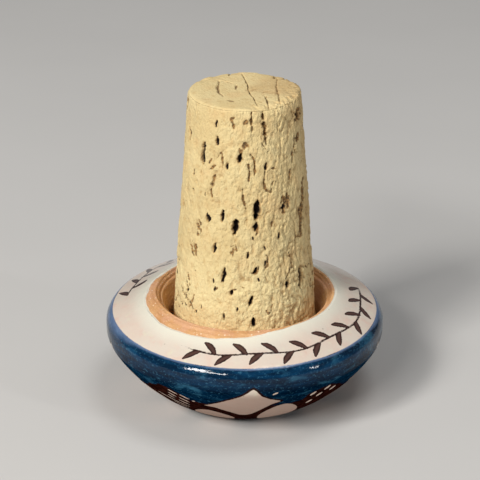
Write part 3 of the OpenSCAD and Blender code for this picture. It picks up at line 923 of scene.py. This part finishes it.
def white_glaze(s):
    """Cream white, blotched toward the rim, with painted sheen and a painted highlight lighter toward the
    clay, kiln specks, and painted shade low on the dome.
    """
    from_clay = s.field("glaze")
    patches = s.noise(5.0, 3)
    color = s.mix(s.ramp(patches, 0.35, 0.65), CREAM_PINK, CREAM)
    rimward = s.ramp(from_clay, 1.6, 4.6, 0.35, 1.0)
    color = s.mix(s.math("MULTIPLY", s.ramp(s.noise(1.5, 4), 0.48, 0.72, 0, 0.55), rimward), color, BLUSH)
    green = s.ramp(s.noise(1.1, 4, (1, 1, 1.2)), 0.55, 0.75, 0, 0.5)
    color = s.mix(s.math("MULTIPLY", green, rimward), color, LIME)
    # Painted sheen and painted highlight: the white is lightened toward the glaze's edge by the clay
    color = s.mix(s.ramp(from_clay, 3.2, 0.3, 0, 0.8), color, SHEEN_WHITE)
    color = s.mix(s.ramp(from_clay, 0.6, 0.1, 0, 0.6), color, HIGHLIGHT_WHITE)
    specks = s.ramp(s.cells(1.9), 0.0, 0.08, 1.0, 0.0)
    color = s.mix(s.math("MULTIPLY", specks, s.ramp(patches, 0.48, 0.6)), color, KILN_SPECK)
    # Painted shade: the white is darkened low on the dome, toward the floor
    return s.mix(s.ramp(s.field("low"), -1, 1, 0, 0.75), color, DOME_PAINTED_SHADE)


def blue_glaze(s):
    """Cobalt in watery strokes round the band, thin along the band's upper edge, where painted reflection
    widens the pale blue at the left and right, and painted shade darkens it low on the dome.
    """
    brush = s.noise(1.0, 4, (5, 5, 0.8), 0.6)
    pools = s.noise(2.4, 4, (1.8, 1.8, 0.8), 0.6)
    streaks = s.math("MULTIPLY", s.math("SUBTRACT", brush, 0.5), 1.2)
    thin = s.ramp(s.math("ADD", s.field("fade"), streaks), 1.0, 0.0)
    color = s.mix(s.ramp(brush, 0.3, 0.7), COBALT_DEEP, COBALT)
    color = s.mix(s.ramp(pools, 0.48, 0.72, 0, 0.75), color, COBALT_POOL_AND_SHADE)
    # Painted shade: the blue is darkened low on the dome
    color = s.mix(s.ramp(s.field("low"), -2.8, -0.8, 0, 0.45), color, COBALT_POOL_AND_SHADE)
    color = s.mix(s.ramp(pools, 0.46, 0.28, 0, 0.6), color, COBALT_WASH)
    grains = s.noise(0.3, 4, (1.6, 1.6, 1), 0.7)
    color = s.mix(s.ramp(grains, 0.54, 0.7, 0, 0.6), color, COBALT_GRAIN)
    # Thin glaze, and painted reflection at the left and right: the pale blue along the band's upper edge
    return s.mix(s.math("MULTIPLY", thin, 0.75), color, COBALT_THIN_AND_REFLECTION)


def bare_clay(s):
    """Unglazed tan clay, pinker in places, with turning lines and pale grit."""
    lines = s.noise(0.9, 5, (4, 4, 0.6), 0.6)
    color = s.mix(s.ramp(lines, 0.3, 0.7), CLAY, CLAY_LIGHT)
    color = s.mix(s.ramp(s.noise(3.6, 3), 0.42, 0.62, 0, 0.55), color, CLAY_PINK)
    color = s.mix(s.ramp(s.noise(2.6, 3), 0.55, 0.75, 0, 0.45), color, CLAY_DARK)
    color = s.mix(s.ramp(s.noise(0.3, 4, rough=0.7), 0.56, 0.7, 0, 0.8), color, CLAY_DUST)
    return s.mix(s.ramp(s.cells(0.9), 0.06, 0.2, 0.8, 0.0), color, CLAY_GRIT)


def painted_color(s, wobble):
    """The colour of the glazed part: each painted field over the brown ground."""
    brown = s.mix(s.ramp(s.noise(0.9, 4), 0.35, 0.7), BROWN_BLACK, RED_BROWN)
    worn_white = s.mix(s.ramp(s.noise(0.5, 4), 0.58, 0.75, 0, 0.4), MARK_WHITE, brown)
    leaf = s.mix(s.ramp(s.field("sprigs"), 0.05, 0.42), LEAF_EDGE, LEAF_MIDDLE)
    color = s.mix(paint_edge(s, "pale", wobble), brown, white_glaze(s))
    color = s.mix(paint_edge(s, "blue", wobble, 0.1), color, blue_glaze(s))
    color = s.mix(paint_edge(s, "marks", wobble, 0.04), color, worn_white)
    return s.mix(paint_edge(s, "sprigs", wobble, 0.06), color, leaf)


def glaze_relief(s, wobble, glazed):
    """Ripples in the glaze, the paint's thickness, the step at the glaze's edge and the bare clay's grit."""
    ripple = s.bump(s.noise(0.5, 3), 0.012, 1.0, s.bump(s.noise(2.0, 3), 0.06))
    leaves = s.math("MULTIPLY", paint_edge(s, "sprigs", wobble, 0.2), 0.6)
    painted = s.bump(s.math("ADD", paint_edge(s, "blue", wobble, 0.25), leaves), 0.03, 1.0, ripple)
    edge = s.bump(s.ramp(s.field("glaze"), -0.05, 0.35), 0.1, 1.0, painted)
    grit = s.math("MULTIPLY", s.noise(0.22, 4, (2, 2, 1)), s.math("SUBTRACT", 1.0, glazed))
    return s.bump(grit, 0.16, 1.0, edge)


def glazed_clay():
    s = Shader("painted_glaze", IOR=1.4)
    wobble = s.math("MULTIPLY", s.math("SUBTRACT", s.noise(0.35, 4), 0.5), 0.22)
    glazed = s.ramp(s.math("ADD", s.field("glaze"), wobble), -0.04, 0.1)
    gloss = s.ramp(s.noise(1.4, 4), 0.3, 0.7, 0.05, 0.13)
    s.set("Base Color", s.mix(glazed, bare_clay(s), painted_color(s, wobble)))
    s.set("Roughness", s.blend(glazed, 0.82, gloss))
    s.set("Specular IOR Level", s.ramp(s.field("low"), -3.4, -0.2, 0.5, 0.0))
    s.set("Normal", glaze_relief(s, wobble, glazed))
    return s.material


def cork_ground(s, grain):
    """The cork's colour: cloudy tan, paler toward its foot, and darker on its right side, where shade is
    painted.
    """
    color = s.mix(s.ramp(s.noise(5.0, 4), 0.3, 0.7), CORK_LIGHT, CORK_TAN)
    color = s.mix(s.math("MULTIPLY", s.field("foot"), 0.7), color, CORK_FOOT)
    color = s.mix(s.ramp(s.noise(3.2, 4), 0.5, 0.7, 0, 0.26), color, CORK_WARM)
    # Painted shade: the cork's right side, turned away from the lamps, is darkened
    color = s.mix(s.math("MULTIPLY", s.field("shade_right"), 0.4), color, CORK_PAINTED_SHADE)
    color = s.mix(s.ramp(grain, 0.5, 0.72, 0, 0.5), color, CORK_GRAIN)
    return s.mix(s.ramp(s.noise(0.4, 3), 0.55, 0.8, 0, 0.5), color, CORK_PALE)


def cork_marks(s, color):
    """Painted shade in the creases, then specks, brown marks, cracks and black pits over the cork's colour.
    """
    # Painted shade: the creases are darkened as if in shadow
    color = s.mix(s.ramp(s.field("crease"), 0.3, 0.95, 0, 0.55), color, CREASE_PAINTED_SHADE)
    specks = s.math("MULTIPLY", s.ramp(s.cells(0.85), 0.02, 0.14, 1, 0), s.ramp(s.noise(1.3, 2), 0.5, 0.6))
    color = s.mix(s.math("MULTIPLY", specks, 0.55), color, SPECK_BROWN)
    stain = s.mix(s.ramp(s.noise(0.25, 4), 0.38, 0.62), STAIN_DARK, STAIN_LIGHT)
    color = s.mix(s.ramp(s.field("stain"), -0.3, 0.5, 0, 0.88), color, stain)
    color = s.mix(s.ramp(s.field("crack"), -0.1, 0.6, 0, 0.72), color, CRACK_BROWN)
    color = s.mix(s.ramp(s.field("pit"), -0.35, 0.2, 0, 0.5), color, PIT_RIM)
    return s.mix(s.ramp(s.field("pit"), 0.02, 0.42), color, PIT_BLACK)


def natural_cork():
    s = Shader("natural_cork", IOR=1.4)
    grain = s.noise(0.9, 5, (1, 1, 1.8), 0.6)
    rough = s.ramp(s.field("end_face"), 0, 1, 1, 0.45)
    small = s.bump(s.math("MULTIPLY", s.noise(0.3, 4, (1, 1, 1.4)), rough), 0.24)
    s.set("Base Color", cork_marks(s, cork_ground(s, grain)))
    s.set("Roughness", s.ramp(grain, 0.3, 0.7, 0.78, 0.92))
    s.set("Normal", s.bump(s.math("MULTIPLY", s.cells(0.42, (1, 1, 1.5)), rough), 0.1, 0.8, small))
    return s.material


def set_adhesive():
    s = Shader("set_adhesive", IOR=1.48)
    s.set("Base Color", s.mix(s.ramp(s.noise(2.0, 4), 0.35, 0.7), srgb(196, 168, 120), srgb(222, 206, 170)))
    s.set("Roughness", s.ramp(s.noise(1.0, 3), 0.3, 0.7, 0.4, 0.6))
    s.set("Normal", s.bump(s.noise(1.2, 3), 0.1))
    return s.material


def plain_floor():
    s = Shader("pale_floor", Roughness=0.9)
    s.set("Base Color", s.mix(s.noise(40.0, 2), srgb(204, 202, 199), srgb(210, 208, 205)))
    return s.material


def dress(piece, material):
    """Gives the piece that material and no other."""
    piece.data.materials.clear()
    piece.data.materials.append(material)


# ---- Studio ----

# Half the floor's side, and the lights' distance from the object, in m
FLOOR_REACH = 3.0
LIGHT_DISTANCE = 0.8
LIGHT_AIM_Z = 0.02

# Lights as (name, degrees round from the front, degrees up, width and height in m, watts, colour)
LIGHTS = [
    ("key", -44, 42, (0.14, 0.14), 2.45, (1.0, 0.98, 0.95)),
    ("strip", -34, 35, (0.42, 0.08), 3.6, (1.0, 0.985, 0.96)),
    ("top", 75, 76, (0.3, 0.3), 1.4, (1.0, 0.99, 0.98)),
    ("fill", 58, 24, (0.042, 0.16), 0.64, (0.96, 0.98, 1.0)),
]
WORLD_COLOR = (0.93, 0.96, 1.0, 1)
WORLD_STRENGTH = 0.13


def make_floor():
    reach = FLOOR_REACH
    corners = [(-reach, -reach, 0), (reach, -reach, 0), (reach, reach, 0), (-reach, reach, 0)]
    mesh = bpy.data.meshes.new("floor")
    mesh.from_pydata(corners, [], [(0, 1, 2, 3)])
    piece = bpy.data.objects.new("floor", mesh)
    bpy.context.scene.collection.objects.link(piece)
    dress(piece, plain_floor())


def area_light(name, azimuth, elevation, size, power, color):
    """A soft light of that width and height, aimed at the object from those angles."""
    data = bpy.data.lights.new(name, "AREA")
    data.shape = "RECTANGLE"
    data.size, data.size_y = size
    data.energy = power
    data.color = color
    az, up = math.radians(azimuth), math.radians(elevation)
    light = bpy.data.objects.new(name, data)
    light.location = (
        LIGHT_DISTANCE * math.cos(up) * math.sin(az),
        -LIGHT_DISTANCE * math.cos(up) * math.cos(az),
        LIGHT_DISTANCE * math.sin(up) + LIGHT_AIM_Z,
    )
    light.rotation_euler = (math.radians(90) - up, 0, az)
    bpy.context.scene.collection.objects.link(light)


def make_studio():
    make_floor()
    for light in LIGHTS:
        area_light(*light)
    world = bpy.data.worlds.new("studio")
    world.use_nodes = True
    background = world.node_tree.nodes["Background"]
    background.inputs["Color"].default_value = WORLD_COLOR
    background.inputs["Strength"].default_value = WORLD_STRENGTH
    bpy.context.scene.world = world


def make_camera():
    """The camera at the photograph's viewing angle."""
    data = bpy.data.cameras.new("camera")
    data.sensor_width = 36
    data.lens = FRONT_CAMERA["lens"]
    data.clip_start = 0.01
    camera = bpy.data.objects.new("camera", data)
    camera.location = FRONT_CAMERA["place"]
    camera.rotation_euler = (math.radians(90 - FRONT_CAMERA["down"]), 0, math.radians(FRONT_CAMERA["yaw"]))
    bpy.context.scene.collection.objects.link(camera)
    bpy.context.scene.camera = camera


cap = make_cap()
dress(cap, glazed_clay())
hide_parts("ceramic_cap")
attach(cap, "root")

cork = make_cork()
dress(cork, natural_cork())
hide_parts("cork")
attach(cork, "root")

dress(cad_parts["glue_bed"], set_adhesive())

make_studio()
make_camera()
bpy.context.scene.view_settings.view_transform = "Standard"
